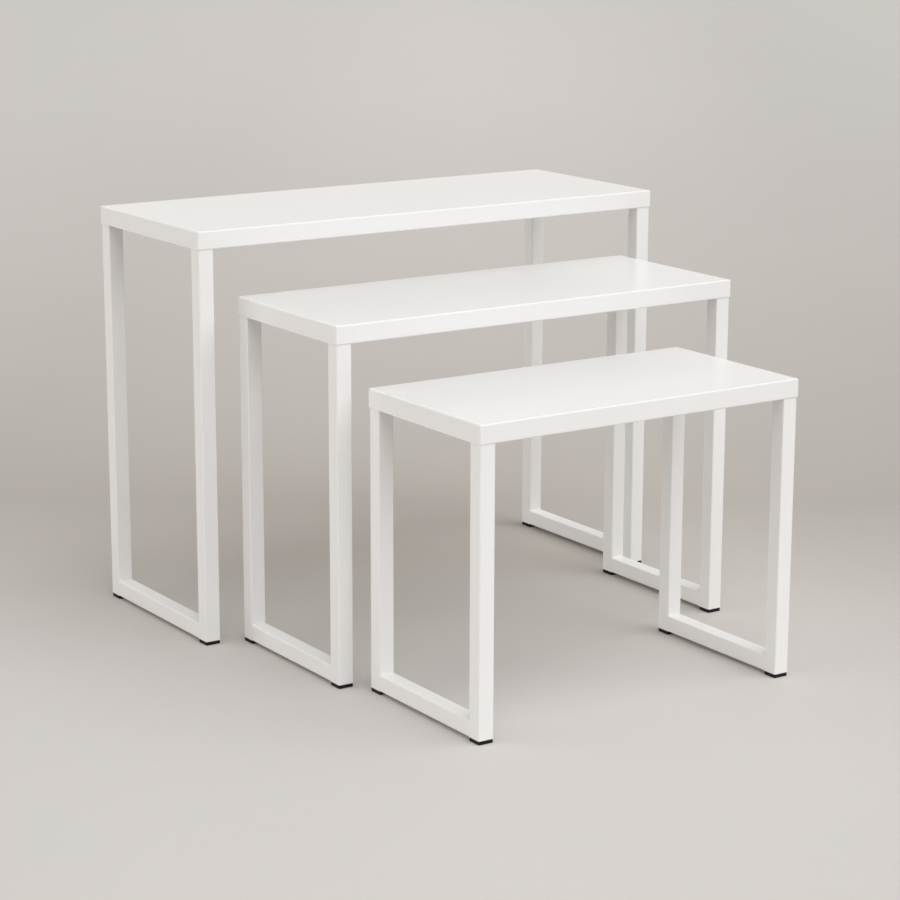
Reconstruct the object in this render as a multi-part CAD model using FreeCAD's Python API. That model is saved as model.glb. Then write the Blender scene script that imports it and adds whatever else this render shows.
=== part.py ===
import FreeCAD, Part

import os

# Tiered display table: three white steel tables of falling size that nest under each other.
# X runs along the tables, Y from the front of the set to its rear, Z up from the floor.
# The origin is on the floor, at the middle of the outline that the whole set covers. Millimetres.

# Overall size of each table
large_width = 1200.0
large_depth = 460.0
large_height = 910.0
middle_width = 1020.0
middle_depth = 405.0
middle_height = 765.0
small_width = 790.0
small_depth = 400.0
small_height = 640.0

# How the tables stand, each one in front of the next bigger one
middle_standing_gap = 4.0
small_standing_gap = 39.0
small_side_gap = 14.0

# Top: a tray of folded sheet with welded corners, and a lip turned in under its long skirts
sheet_thickness = 1.5
skirt_height = 40.0
bend_radius = 3.0
lip_depth = 14.0
lip_notch_gap = 1.0

# Folded channels welded under the sheet
stiffener_height = 25.0
stiffener_width = 40.0
stiffener_sheet = 1.2
stiffener_bend_radius = 2.4
stiffener_end_gap = 0.3

# End frames: square tube, with a flat bar across the leg tops
tube_side = 35.0
tube_wall = 1.5
tube_corner_radius = 2.5
frame_clearance = 0.25
top_bar_thickness = 6.0

# Studs welded to the sheet, and the nuts that hold the end frames up against it
studs_per_end = 2
stud_distance = 45.0
stud_diameter = 6.0
stud_length = 13.5
stud_hole_clearance = 0.5
nut_width = 10.0
nut_height = 5.0
thread_clearance = 0.1

# Feet: a pad below each leg, with a ribbed plug up inside the tube
foot_height = 8.0
foot_inset = 0.5
foot_corner_bevel = 1.5
foot_edge_bevel = 1.2
plug_depth = 20.0
plug_core_gap = 3.0
plug_core_wall = 2.0
rib_count = 2
rib_thickness = 2.0
rib_clearance = 0.1
rib_corner_bevel = 1.0

X_AXIS = FreeCAD.Vector(1, 0, 0)
Y_AXIS = FreeCAD.Vector(0, 1, 0)
Z_AXIS = FreeCAD.Vector(0, 0, 1)
MIDDLE_OF_QUARTER_TURN = 2 ** -0.5
CUT_MARGIN = 1.0


def rounded_path(corners):
    """Edges along a list of (point, radius), with a tangent arc at each corner between the two ends."""
    edges = []
    position = corners[0][0]
    for index in range(1, len(corners)):
        point, radius = corners[index]
        start, end = point, point
        if radius > 0 and index + 1 < len(corners):
            arriving = (point - corners[index - 1][0]).normalize()
            leaving = (corners[index + 1][0] - point).normalize()
            start = point - arriving * radius
            end = point + leaving * radius
        edges.append(Part.LineSegment(position, start).toShape())
        if radius > 0 and start != end:
            centre = start + end - point
            edges.append(Part.Arc(start, centre + (point - centre) * MIDDLE_OF_QUARTER_TURN, end).toShape())
        position = end
    return edges


def rectangle(width, height, inset=0.0):
    """Corners of a rectangle from the origin to (width, height), drawn in by the inset."""
    far_x, far_y = width - inset, height - inset
    return [FreeCAD.Vector(x, y, 0) for x, y in ((inset, inset), (far_x, inset), (far_x, far_y), (inset, far_y))]


def rounded_face(corners, radii):
    """Face with an arc of its own radius at each corner of a closed outline; a radius of 0 leaves it sharp."""
    start = (corners[0] + corners[-1]) / 2
    path = [(start, 0)] + list(zip(corners, radii)) + [(start, 0)]
    return Part.Face(Part.Wire(rounded_path(path)))


def square_face(inset):
    """Square face with sharp corners, drawn in by the inset from the outline of the tube."""
    return rounded_face(rectangle(tube_side, tube_side, inset), [0] * 4)


def bevelled_face(bevel, inset):
    """Square face with its corners cut off, drawn in by the inset from the outline of the tube."""
    near, far = inset, tube_side - inset
    points = [
        (near + bevel, near), (far - bevel, near), (far, near + bevel), (far, far - bevel),
        (far - bevel, far), (near + bevel, far), (near, far - bevel), (near, near + bevel),
        (near + bevel, near),
    ]
    return Part.Face(Part.makePolygon([FreeCAD.Vector(x, y, 0) for x, y in points]))


def along_z(face, length, base=0.0):
    """Extrude a face of the XY plane along Z, from this height."""
    solid = face.extrude(Z_AXIS * length)
    solid.translate(Z_AXIS * base)
    return solid


def along_x(face, length):
    """Stand a face up so that its own X and Y become Y and Z, and extrude it along X."""
    turn = FreeCAD.Placement(FreeCAD.Vector(), FreeCAD.Rotation(Y_AXIS, Z_AXIS, X_AXIS, "XYZ"))
    return face.transformed(turn.toMatrix()).extrude(X_AXIS * length)


def along_y(face, length):
    """Stand a face up so that its own X and Y become X and Z, and extrude it along Y."""
    turn = FreeCAD.Placement(FreeCAD.Vector(), FreeCAD.Rotation(X_AXIS, Z_AXIS, -Y_AXIS, "XYZ"))
    return face.transformed(turn.toMatrix()).extrude(Y_AXIS * length)


def box(low, high):
    """Box between two corners given as (x, y, z)."""
    size = [b - a for a, b in zip(low, high)]
    return Part.makeBox(*size, FreeCAD.Vector(*low))


def folded_body(width, depth, height, radius):
    """Block bent along its four upper edges and the two long lower ones: the meet of its two outlines."""
    side = rounded_face(rectangle(depth, height), [radius] * 4)
    front = rounded_face(rectangle(width, height), [0, 0, radius, radius])
    return along_x(side, width).common(along_y(front, depth))


def square_tube_section():
    """Section of the square tube, with its outer corners rounded."""
    outer = rounded_face(rectangle(tube_side, tube_side), [tube_corner_radius] * 4)
    return outer.cut(square_face(tube_wall))


def channel_section():
    """Section of a folded channel with its web on the X axis and its two flanges hanging down."""
    half = stiffener_width / 2
    inner_half = half - stiffener_sheet
    inner_radius = stiffener_bend_radius - stiffener_sheet
    outside = [(-half, -stiffener_height), (-half, 0), (half, 0), (half, -stiffener_height)]
    inside = [
        (inner_half, -stiffener_height), (inner_half, -stiffener_sheet),
        (-inner_half, -stiffener_sheet), (-inner_half, -stiffener_height),
    ]
    radii = [0, stiffener_bend_radius, stiffener_bend_radius, 0, 0, inner_radius, inner_radius, 0]
    corners = [FreeCAD.Vector(x, y, 0) for x, y in outside + inside]
    return rounded_face(corners, radii)


def foot():
    """Pad inside the outline of the leg, with eased edges and a ribbed plug that grips inside the tube."""
    pad = along_z(bevelled_face(foot_corner_bevel, foot_inset), foot_height)
    lower_edges = [edge for edge in pad.Edges if edge.BoundBox.ZMax < foot_height / 2]
    pad = pad.makeChamfer(foot_edge_bevel, lower_edges)
    core_inset = tube_wall + plug_core_gap
    core = along_z(square_face(core_inset), plug_depth, foot_height)
    hollow = along_z(square_face(core_inset + plug_core_wall), plug_depth, foot_height)
    pitch = plug_depth / (rib_count + 1)
    rib = bevelled_face(rib_corner_bevel, tube_wall + rib_clearance)
    rib_bases = [foot_height + pitch * (index + 1) - rib_thickness / 2 for index in range(rib_count)]
    ribs = [along_z(rib, rib_thickness, base) for base in rib_bases]
    return pad.fuse([core] + ribs).cut(hollow).removeSplitter()


def nut():
    """Hexagon nut with its upper face at the origin."""
    corner_distance = nut_width / 3 ** 0.5
    corners = [FreeCAD.Rotation(Z_AXIS, 60 * turn).multVec(X_AXIS) * corner_distance for turn in range(7)]
    body = along_z(Part.Face(Part.makePolygon(corners)), nut_height, -nut_height)
    bore_radius = stud_diameter / 2 + thread_clearance
    return body.cut(Part.makeCylinder(bore_radius, nut_height, FreeCAD.Vector(0, 0, -nut_height)))


class Table:
    """One table of the set, built with its front left corner on the floor at the origin."""

    def __init__(self, name, width, depth, height):
        self.name = name
        self.width = width
        self.depth = depth
        self.height = height
        self.frame_inset = sheet_thickness + frame_clearance
        self.tray_base = height - skirt_height
        self.sheet_underside = height - sheet_thickness
        self.leg_top = self.sheet_underside - top_bar_thickness
        self.rail_start = self.frame_inset + tube_side
        self.rail_length = depth - 2 * self.rail_start
        self.left_and_right = {"left": self.frame_inset, "right": width - self.frame_inset - tube_side}
        self.front_and_rear = {"front": self.frame_inset, "rear": depth - self.frame_inset - tube_side}

    def top_tray(self):
        """Sheet folded down into four skirts, with a lip under the long ones that stops short of the legs."""
        t = sheet_thickness
        tray = folded_body(self.width, self.depth, skirt_height, bend_radius)
        cavity = folded_body(self.width - 2 * t, self.depth - 2 * t, skirt_height - 2 * t, bend_radius - t)
        cavity.translate(FreeCAD.Vector(t, t, t))
        mouth = box((t, lip_depth, -CUT_MARGIN), (self.width - t, self.depth - lip_depth, skirt_height / 2))
        notch_length = frame_clearance + tube_side + lip_notch_gap
        notches = [
            box((x, t, -CUT_MARGIN), (x + notch_length, self.depth - t, bend_radius))
            for x in (t, self.width - t - notch_length)
        ]
        tray = tray.cut([cavity, mouth] + notches)
        tray.translate(Z_AXIS * self.tray_base)
        return tray

    def stiffener(self, share):
        """Channel under the sheet, from one end frame to the other, at this share of the depth."""
        inset = self.rail_start + stiffener_end_gap
        channel = along_x(channel_section(), self.width - 2 * inset)
        channel.translate(FreeCAD.Vector(inset, self.depth * share, self.sheet_underside))
        return channel

    def leg(self, x, y):
        """Square tube from the foot pad up to the top bar."""
        tube = along_z(square_tube_section(), self.leg_top - foot_height, foot_height)
        tube.translate(FreeCAD.Vector(x, y, 0))
        return tube

    def floor_rail(self, x):
        """Square tube between the legs of an end frame, level with their lower ends."""
        tube = along_y(square_tube_section(), self.rail_length)
        tube.translate(FreeCAD.Vector(x, self.rail_start, foot_height))
        return tube

    def stud_places(self, x):
        """Where the studs of one end stand, for the end frame whose outer face is at x."""
        pitch = (self.rail_length - 2 * stud_distance) / (studs_per_end - 1)
        first = self.rail_start + stud_distance
        return [FreeCAD.Vector(x + tube_side / 2, first + pitch * index, 0) for index in range(studs_per_end)]

    def top_bar(self, x):
        """Flat bar under the sheet, inside its bends, welded across the leg tops, with a hole for each stud."""
        clear = bend_radius + frame_clearance
        low_x = max(x, clear)
        high_x = min(x + tube_side, self.width - clear)
        bar = box((low_x, clear, self.leg_top), (high_x, self.depth - clear, self.sheet_underside))
        hole_radius = stud_diameter / 2 + stud_hole_clearance
        for place in self.stud_places(x):
            bar = bar.cut(Part.makeCylinder(hole_radius, top_bar_thickness, place + Z_AXIS * self.leg_top))
        return bar

    def at_each_stud(self, piece, height):
        """Copies of a piece on the axis of every stud, with its origin at this height."""
        copies = []
        for x in self.left_and_right.values():
            for place in self.stud_places(x):
                copy = piece.copy()
                copy.translate(place + Z_AXIS * height)
                copies.append(copy)
        return Part.Compound(copies)

    def pieces(self):
        """Every piece of the table by its node name."""
        pieces = {"top_tray": self.top_tray()}
        for place, share in (("front", 1 / 3), ("rear", 2 / 3)):
            pieces["stiffener_" + place] = self.stiffener(share)
        for end, x in self.left_and_right.items():
            pieces["top_bar_" + end] = self.top_bar(x)
            pieces["floor_rail_" + end] = self.floor_rail(x)
            for place, y in self.front_and_rear.items():
                pieces["leg_" + place + "_" + end] = self.leg(x, y)
                pieces["foot_" + place + "_" + end] = foot()
                pieces["foot_" + place + "_" + end].translate(FreeCAD.Vector(x, y, 0))
        stud = Part.makeCylinder(stud_diameter / 2, stud_length)
        pieces["weld_studs"] = self.at_each_stud(stud, self.sheet_underside - stud_length)
        pieces["stud_nuts"] = self.at_each_stud(nut(), self.leg_top)
        return {self.name + "_" + node: shape for node, shape in pieces.items()}


def standing_set():
    """The three tables, each with the place of its front left corner on the floor."""
    large = Table("large", large_width, large_depth, large_height)
    middle = Table("middle", middle_width, middle_depth, middle_height)
    small = Table("small", small_width, small_depth, small_height)
    set_depth = large_depth + middle_standing_gap + middle_depth + small_standing_gap + small_depth
    large_front = set_depth / 2 - large_depth
    middle_front = large_front - middle_standing_gap - middle_depth
    small_front = middle_front - small_standing_gap - small_depth
    small_left = -middle_width / 2 + middle.rail_start + small_side_gap
    return [
        (large, FreeCAD.Vector(-large_width / 2, large_front, 0)),
        (middle, FreeCAD.Vector(-middle_width / 2, middle_front, 0)),
        (small, FreeCAD.Vector(small_left, small_front, 0)),
    ]


os.makedirs("parts", exist_ok=True)
for table, place in standing_set():
    for node, shape in table.pieces().items():
        shape.translate(place)
        shape.exportStep("parts/" + node + ".step")
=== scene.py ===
import logging
import math
from collections.abc import Iterable, Mapping, Sequence
from dataclasses import dataclass
from enum import Enum
from typing import ClassVar

import bpy
from mathutils import Matrix, Vector


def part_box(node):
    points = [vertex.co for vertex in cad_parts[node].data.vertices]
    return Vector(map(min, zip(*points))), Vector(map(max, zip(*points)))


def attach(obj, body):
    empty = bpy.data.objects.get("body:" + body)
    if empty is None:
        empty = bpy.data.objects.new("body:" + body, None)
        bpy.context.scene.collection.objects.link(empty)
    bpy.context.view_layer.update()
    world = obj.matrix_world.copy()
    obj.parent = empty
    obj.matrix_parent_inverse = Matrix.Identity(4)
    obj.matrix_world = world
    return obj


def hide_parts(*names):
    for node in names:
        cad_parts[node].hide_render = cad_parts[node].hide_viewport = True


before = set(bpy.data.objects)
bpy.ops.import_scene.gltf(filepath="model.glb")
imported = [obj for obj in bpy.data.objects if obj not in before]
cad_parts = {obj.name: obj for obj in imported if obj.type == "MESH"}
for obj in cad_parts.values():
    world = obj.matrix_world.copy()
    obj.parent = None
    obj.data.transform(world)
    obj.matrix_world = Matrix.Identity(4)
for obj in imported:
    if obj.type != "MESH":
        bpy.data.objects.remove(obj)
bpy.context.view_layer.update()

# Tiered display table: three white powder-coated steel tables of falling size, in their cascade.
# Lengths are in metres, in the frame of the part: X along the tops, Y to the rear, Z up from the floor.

LOG = logging.getLogger("display_tables")
MM = 0.001
QUARTER_TURN = math.pi / 2
EDGE_MARK = "edge"
TABLES = ("large", "middle", "small")
ENDS = ("left", "right")
SIDES = ("front", "rear")

Colour = tuple[float, float, float]
Place = tuple[float, float, float]
MarkedPoint = tuple[float, float, float]
Pair = tuple[float, float]


class Slot(Enum):
    """The finishes that the part lists."""

    COATED_TOP = "white_coat_top"
    COATED_FRAME = "white_coat_frame"
    COATED_INSIDE = "white_coat_inner"
    PLASTIC = "black_plastic"
    ZINC = "zinc_steel"


class Axis(Enum):
    """The direction that a piece runs in: which coordinates are u, v and w, with w along the piece."""

    Y = (2, 0, 1)
    Z = (0, 1, 2)

    def split(self, point: Vector) -> MarkedPoint:
        """Give a point's u, v and w."""
        u, v, w = self.value
        return point[u], point[v], point[w]

    def join(self, u: float, v: float, w: float) -> Vector:
        """Give the point that lies at u, v and w."""
        by_index = dict(zip(self.value, (u, v, w)))
        return Vector([by_index[index] for index in range(3)])


# ---------------------------------------------------------------- shader writing


def toned(colour: Colour, tone: float) -> Colour:
    """Make a colour darker, with a tone below 1, or lighter."""
    return tuple(tone * part for part in colour)


@dataclass(frozen=True)
class Mottle:
    """An even cloud of values about one half.

    Attributes:
        scale: how many clouds there are to a metre.
        detail: how many finer layers it has.
        roughness: how strong the finer layers are.
    """

    scale: float
    detail: float = 2.0
    roughness: float = 0.5


class Wire:
    """One value on its way through a shader, whose arithmetic adds the nodes that work it out."""

    def __init__(self, recipe: "Recipe", socket: bpy.types.NodeSocket) -> None:
        """Wrap an output socket of a shader."""
        self.recipe = recipe
        self.socket = socket

    def __add__(self, other: "Operand") -> "Wire":
        """Add another value to this one."""
        return self.recipe.combine("ADD", self, other)

    def __radd__(self, other: "Operand") -> "Wire":
        """Add this value to another one."""
        return self.recipe.combine("ADD", other, self)

    def __sub__(self, other: "Operand") -> "Wire":
        """Take another value from this one."""
        return self.recipe.combine("SUBTRACT", self, other)

    def __rsub__(self, other: "Operand") -> "Wire":
        """Take this value from another one."""
        return self.recipe.combine("SUBTRACT", other, self)

    def __mul__(self, other: "Operand") -> "Wire":
        """Multiply this value by another one."""
        return self.recipe.combine("MULTIPLY", self, other)

    def __rmul__(self, other: "Operand") -> "Wire":
        """Multiply another value by this one."""
        return self.recipe.combine("MULTIPLY", other, self)


Operand = Wire | float | tuple[float, ...]
Sockets = Mapping[int | str, Operand]


class Recipe:
    """The shader of a material or of the sky, written node by node."""

    # The numbers of a Mix node's sockets when it mixes colours.
    MIX_SHARE: ClassVar[int] = 0
    MIX_FIRST: ClassVar[int] = 6
    MIX_SECOND: ClassVar[int] = 7
    MIX_OUT: ClassVar[int] = 2

    def __init__(self, owner: bpy.types.Material | bpy.types.World) -> None:
        """Start with an empty shader.

        Args:
            owner: what the shader belongs to.
        """
        self.owner = owner
        self.owner.use_nodes = True
        self.tree = self.owner.node_tree
        self.tree.nodes.clear()

    @classmethod
    def of_material(cls, name: str) -> "Recipe":
        """Start the shader of a new material with this name."""
        return cls(bpy.data.materials.new(name))

    def wire(
        self,
        kind: str,
        settings: Mapping[str, object] | None = None,
        sockets: Sockets | None = None,
        output: int | str = 0,
    ) -> Wire:
        """Add a node of any type and give one of its outputs.

        Args:
            kind: the node's type.
            settings: what is set on the node before its sockets; "stops" are a ramp's places and colours.
            sockets: the value or wire for each input, by number or name.
            output: which output to give.

        Returns:
            The output, ready for arithmetic.
        """
        node = self.tree.nodes.new(kind)
        for key, value in (settings or {}).items():
            if key == "stops":
                self._set_stops(node.color_ramp, value)
            else:
                setattr(node, key, value)
        for key, value in (sockets or {}).items():
            self._feed(node.inputs[key], value)
        return Wire(self, node.outputs[output])

    def combine(self, operation: str, first: Operand, second: Operand) -> Wire:
        """Work out one step of arithmetic on values, vectors or colours.

        Args:
            operation: the step, as the nodes name it.
            first: what stands before the sign.
            second: what stands after it.

        Returns:
            The result.
        """
        kinds = {side.socket.type for side in (first, second) if isinstance(side, Wire)}
        if "RGBA" in kinds:
            return self._mix(operation, 1.0, first, second)
        kind = "ShaderNodeVectorMath" if "VECTOR" in kinds else "ShaderNodeMath"
        return self.wire(kind, {"operation": operation}, {0: first, 1: second})

    def blend(self, share: Operand, first: Operand, second: Operand) -> Wire:
        """Blend from the first colour, at a share of 0, to the second, at a share of 1."""
        return self._mix("MIX", share, first, second)

    def place(self) -> Wire:
        """Give the place on the piece, in metres."""
        return self.wire("ShaderNodeTexCoord", output="Object")

    def edge(self) -> Wire:
        """Give how much of an edge there is, from 0 on a flat face to 1."""
        return self.wire("ShaderNodeAttribute", {"attribute_name": EDGE_MARK}, output="Fac")

    def noise(self, place: Operand, mottle: Mottle) -> Wire:
        """Give the value of a mottle at a place on the piece."""
        layers = {"Detail": mottle.detail, "Roughness": mottle.roughness}
        return self.wire("ShaderNodeTexNoise", {}, {"Vector": place, "Scale": mottle.scale, **layers})

    def ramp(self, value: Operand, stops: Sequence[Pair]) -> Wire:
        """Map a value along a row of grey stops.

        Args:
            value: what is mapped.
            stops: the place and the grey of each stop.

        Returns:
            The mapped value.
        """
        start, end = stops[0][0], stops[-1][0]
        share = self.wire("ShaderNodeMapRange", {}, {"Value": value, "From Min": start, "From Max": end})
        grey_stops = [((at - start) / (end - start), (grey, grey, grey)) for at, grey in stops]
        return self.wire("ShaderNodeValToRGB", {"stops": grey_stops}, {0: share})

    def bump(self, height: Operand, rise: float, normal: Wire | None = None) -> Wire:
        """Lay fine relief on a surface.

        Args:
            height: the relief, from 0 to 1.
            rise: how high 1 stands, in metres.
            normal: the relief below it, if there is any.

        Returns:
            The new normal.
        """
        sockets: dict[int | str, Operand] = {"Strength": 1.0, "Distance": rise, "Height": height}
        if normal is not None:
            sockets["Normal"] = normal
        return self.wire("ShaderNodeBump", {}, sockets)

    def finish(self, sockets: Sockets) -> bpy.types.Material:
        """Close the shader of a material with the inputs of its surface."""
        return self._close("ShaderNodeBsdfPrincipled", sockets, "ShaderNodeOutputMaterial")

    def finish_sky(self, colour: Wire) -> bpy.types.World:
        """Close the shader of a sky with the light that comes from each direction."""
        return self._close("ShaderNodeBackground", {"Color": colour}, "ShaderNodeOutputWorld")

    def _close(self, kind: str, sockets: Sockets, output_kind: str) -> bpy.types.Material | bpy.types.World:
        """Add the last node and link it to the output.

        Args:
            kind: the type of the last node.
            sockets: its inputs.
            output_kind: the type of the output.

        Returns:
            What the shader belongs to.
        """
        last = self.wire(kind, {}, sockets)
        output = self.tree.nodes.new(output_kind)
        self.tree.links.new(last.socket, output.inputs["Surface"])
        return self.owner

    def _mix(self, operation: str, share: Operand, first: Operand, second: Operand) -> Wire:
        """Add a Mix node for colours.

        Args:
            operation: how it mixes them.
            share: how much of the mix there is, from 0 to 1.
            first: the first colour.
            second: the second colour.

        Returns:
            The mixed colour.
        """
        settings = {"data_type": "RGBA", "blend_type": operation}
        sockets = {self.MIX_SHARE: share, self.MIX_FIRST: first, self.MIX_SECOND: second}
        return self.wire("ShaderNodeMix", settings, sockets, self.MIX_OUT)

    def _feed(self, socket: bpy.types.NodeSocket, value: Operand) -> None:
        """Link a wire to an input, or write a value on it.

        Args:
            socket: the input.
            value: the wire, the number, the vector or the colour.
        """
        if isinstance(value, Wire):
            self.tree.links.new(value.socket, socket)
        elif socket.type == "RGBA":
            colour = value if isinstance(value, tuple) else (value,) * 3
            socket.default_value = (*colour, 1.0)
        elif socket.type == "VECTOR":
            socket.default_value = value if isinstance(value, tuple) else (value,) * 3
        else:
            socket.default_value = value

    @staticmethod
    def _set_stops(ramp: bpy.types.ColorRamp, stops: Sequence[tuple[float, Colour]]) -> None:
        """Give a ramp its stops.

        Args:
            ramp: the ramp of a node.
            stops: the place and the colour of each stop.
        """
        while len(ramp.elements) < len(stops):
            ramp.elements.new(1.0)
        for element, (at, colour) in zip(ramp.elements, stops):
            element.position = at
            element.color = (*colour, 1.0)


# ---------------------------------------------------------------- finishes


@dataclass(frozen=True)
class PowderCoat:
    """White powder coat on steel, with orange peel, faint clouds and wipe marks.

    Attributes:
        name: the material's name.
        colour: the colour of the film.
        roughness: how dull it is on a flat face.
        sheen: how much light it mirrors; at one half it mirrors as much as clear lacquer.
        clouds, specks, wear, wipes, peel, waves: where each of these lies on the film.
        cloud_tones: how light it is where it is thinnest and where it is thickest.
        speck_tones: how light it is at each value of the specks.
        wear_reach: how rubbed an edge is at each value of the wear.
        wear_share: how much of the colour of a rubbed edge shows.
        wear_tone: how light a rubbed edge is.
        wipe_stretch: how close together the wipe marks are along X, Y and Z.
        wipe_dulls, speck_dulls, edge_dulls: how much duller each of these is, and a rubbed edge twice.
        peel_rise, wave_rise: the height of the orange peel, and of the slow waves of a wide sheet.
    """

    name: str
    colour: Colour = (0.86, 0.855, 0.846)
    roughness: float = 0.24
    sheen: float = 0.36
    clouds: Mottle = Mottle(3.1, detail=3.0)
    cloud_tones: Pair = (0.982, 1.012)
    specks: Mottle = Mottle(420.0, roughness=0.6)
    speck_tones: tuple[Pair, ...] = ((0.30, 0.965), (0.42, 1.0))
    wear: Mottle = Mottle(46.0, detail=3.0)
    wear_reach: tuple[Pair, ...] = ((0.45, 0.0), (0.75, 1.0))
    wear_share: float = 0.20
    wear_tone: float = 0.93
    wipes: Mottle = Mottle(1.0, detail=3.0, roughness=0.55)
    wipe_stretch: Place = (2.0, 5.0, 5.0)
    wipe_dulls: float = 0.04
    speck_dulls: float = 0.03
    edge_dulls: float = 0.05
    peel: Mottle = Mottle(520.0, detail=1.5, roughness=0.45)
    peel_rise: float = 0.004 * MM
    waves: Mottle = Mottle(3.6, detail=1.0)
    wave_rise: float = 0.0

    def material(self) -> bpy.types.Material:
        """Write the shader.

        Returns:
            The finished material.
        """
        recipe = Recipe.of_material(self.name)
        place = recipe.place()
        edge = recipe.edge()
        specks = recipe.noise(place, self.specks)
        wipes = recipe.noise(place * self.wipe_stretch, self.wipes)
        thin, thick = (toned(self.colour, tone) for tone in self.cloud_tones)
        film = recipe.blend(recipe.noise(place, self.clouds), thin, thick)
        film = film * recipe.ramp(specks, self.speck_tones)
        worn = edge * recipe.ramp(recipe.noise(place, self.wear), self.wear_reach)
        film = recipe.blend(worn * self.wear_share, film, toned(self.colour, self.wear_tone))
        marks = (wipes - 0.5) * self.wipe_dulls + (specks - 0.5) * self.speck_dulls
        dullness = self.roughness + marks + (worn + edge) * self.edge_dulls
        normal = recipe.bump(recipe.noise(place, self.waves), self.wave_rise) if self.wave_rise else None
        normal = recipe.bump(recipe.noise(place, self.peel), self.peel_rise, normal)
        return recipe.finish({
            "Base Color": film, "Roughness": dullness, "Specular IOR Level": self.sheen, "Normal": normal,
        })


@dataclass(frozen=True)
class MouldedPlastic:
    """Black moulded plastic with a fine spark-eroded grain, dusty where it meets the floor.

    Attributes:
        name: the material's name.
        colour: the colour of the plastic.
        clouds, patches, grain: where its clouds, its dust and its grain lie.
        cloud_tone: how much lighter the clouds are.
        dust: the colour of the dust and of the rubbed edge.
        dust_height: how far up from the floor the dust reaches.
        dust_share, rubbed_share: how much of its colour shows near the floor and on an edge.
        patch_reach: how much dust there is at each value of the patches.
        roughness: how dull the plastic is.
        grain_rise: the height of the grain.
        grain_dulls, dust_dulls: how much duller the grain and the dust are.
        sheen: how much light it mirrors.
    """

    name: str
    colour: Colour = (0.005, 0.005, 0.0055)
    clouds: Mottle = Mottle(60.0, detail=3.0)
    cloud_tone: float = 1.6
    dust: Colour = (0.22, 0.205, 0.19)
    dust_height: float = 2.2 * MM
    dust_share: float = 0.12
    rubbed_share: float = 0.04
    patches: Mottle = Mottle(160.0, detail=4.0, roughness=0.6)
    patch_reach: tuple[Pair, ...] = ((0.42, 0.0), (0.70, 1.0))
    roughness: float = 0.46
    grain: Mottle = Mottle(2600.0, roughness=0.6)
    grain_rise: float = 0.03 * MM
    grain_dulls: float = 0.12
    dust_dulls: float = 0.3
    sheen: float = 0.22

    def material(self) -> bpy.types.Material:
        """Write the shader.

        Returns:
            The finished material.
        """
        recipe = Recipe.of_material(self.name)
        place = recipe.place()
        up = recipe.wire("ShaderNodeSeparateXYZ", {}, {0: place}, output="Z")
        near_floor = recipe.ramp(up, ((0.0, 1.0), (self.dust_height, 0.0)))
        patches = recipe.ramp(recipe.noise(place, self.patches), self.patch_reach)
        dusty = near_floor * patches * self.dust_share + recipe.edge() * patches * self.rubbed_share
        light = toned(self.colour, self.cloud_tone)
        clean = recipe.blend(recipe.noise(place, self.clouds), self.colour, light)
        tone = recipe.blend(dusty, clean, self.dust)
        grain = recipe.noise(place, self.grain)
        dullness = self.roughness + (grain - 0.5) * self.grain_dulls + dusty * self.dust_dulls
        normal = recipe.bump(grain, self.grain_rise)
        return recipe.finish({
            "Base Color": tone, "Roughness": dullness, "Specular IOR Level": self.sheen, "Normal": normal,
        })


@dataclass(frozen=True)
class ZincPlate:
    """Bright zinc plate on a small fastener, with a faint spangle and straw-coloured clouds.

    Attributes:
        name: the material's name.
        colour: the colour of the metal.
        tint: the colour of its passivated clouds.
        tint_share: how much of that colour shows.
        clouds, grain: where its clouds and its grain lie.
        cloud_reach: how clouded it is at each value of the clouds.
        roughness: how dull the plate is.
        spangle_scale: how many crystals there are to a metre.
        spangle_dulls: how much duller the rim of a crystal is.
        grain_rise: the height of the grain.
    """

    name: str
    colour: Colour = (0.66, 0.66, 0.65)
    tint: Colour = (0.62, 0.58, 0.47)
    tint_share: float = 0.5
    clouds: Mottle = Mottle(190.0, detail=3.0)
    cloud_reach: tuple[Pair, ...] = ((0.42, 0.0), (0.68, 1.0))
    roughness: float = 0.30
    spangle_scale: float = 1400.0
    spangle_dulls: float = 0.20
    grain: Mottle = Mottle(1900.0, detail=3.0)
    grain_rise: float = 0.02 * MM

    def material(self) -> bpy.types.Material:
        """Write the shader.

        Returns:
            The finished material.
        """
        recipe = Recipe.of_material(self.name)
        place = recipe.place()
        crystals = {"Vector": place, "Scale": self.spangle_scale}
        spangle = recipe.wire("ShaderNodeTexVoronoi", {}, crystals, output="Distance")
        cloud = recipe.ramp(recipe.noise(place, self.clouds), self.cloud_reach)
        tone = recipe.blend(cloud * self.tint_share, self.colour, self.tint)
        dullness = self.roughness + spangle * self.spangle_dulls
        normal = recipe.bump(recipe.noise(place, self.grain), self.grain_rise)
        return recipe.finish({"Base Color": tone, "Metallic": 1.0, "Roughness": dullness, "Normal": normal})


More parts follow.
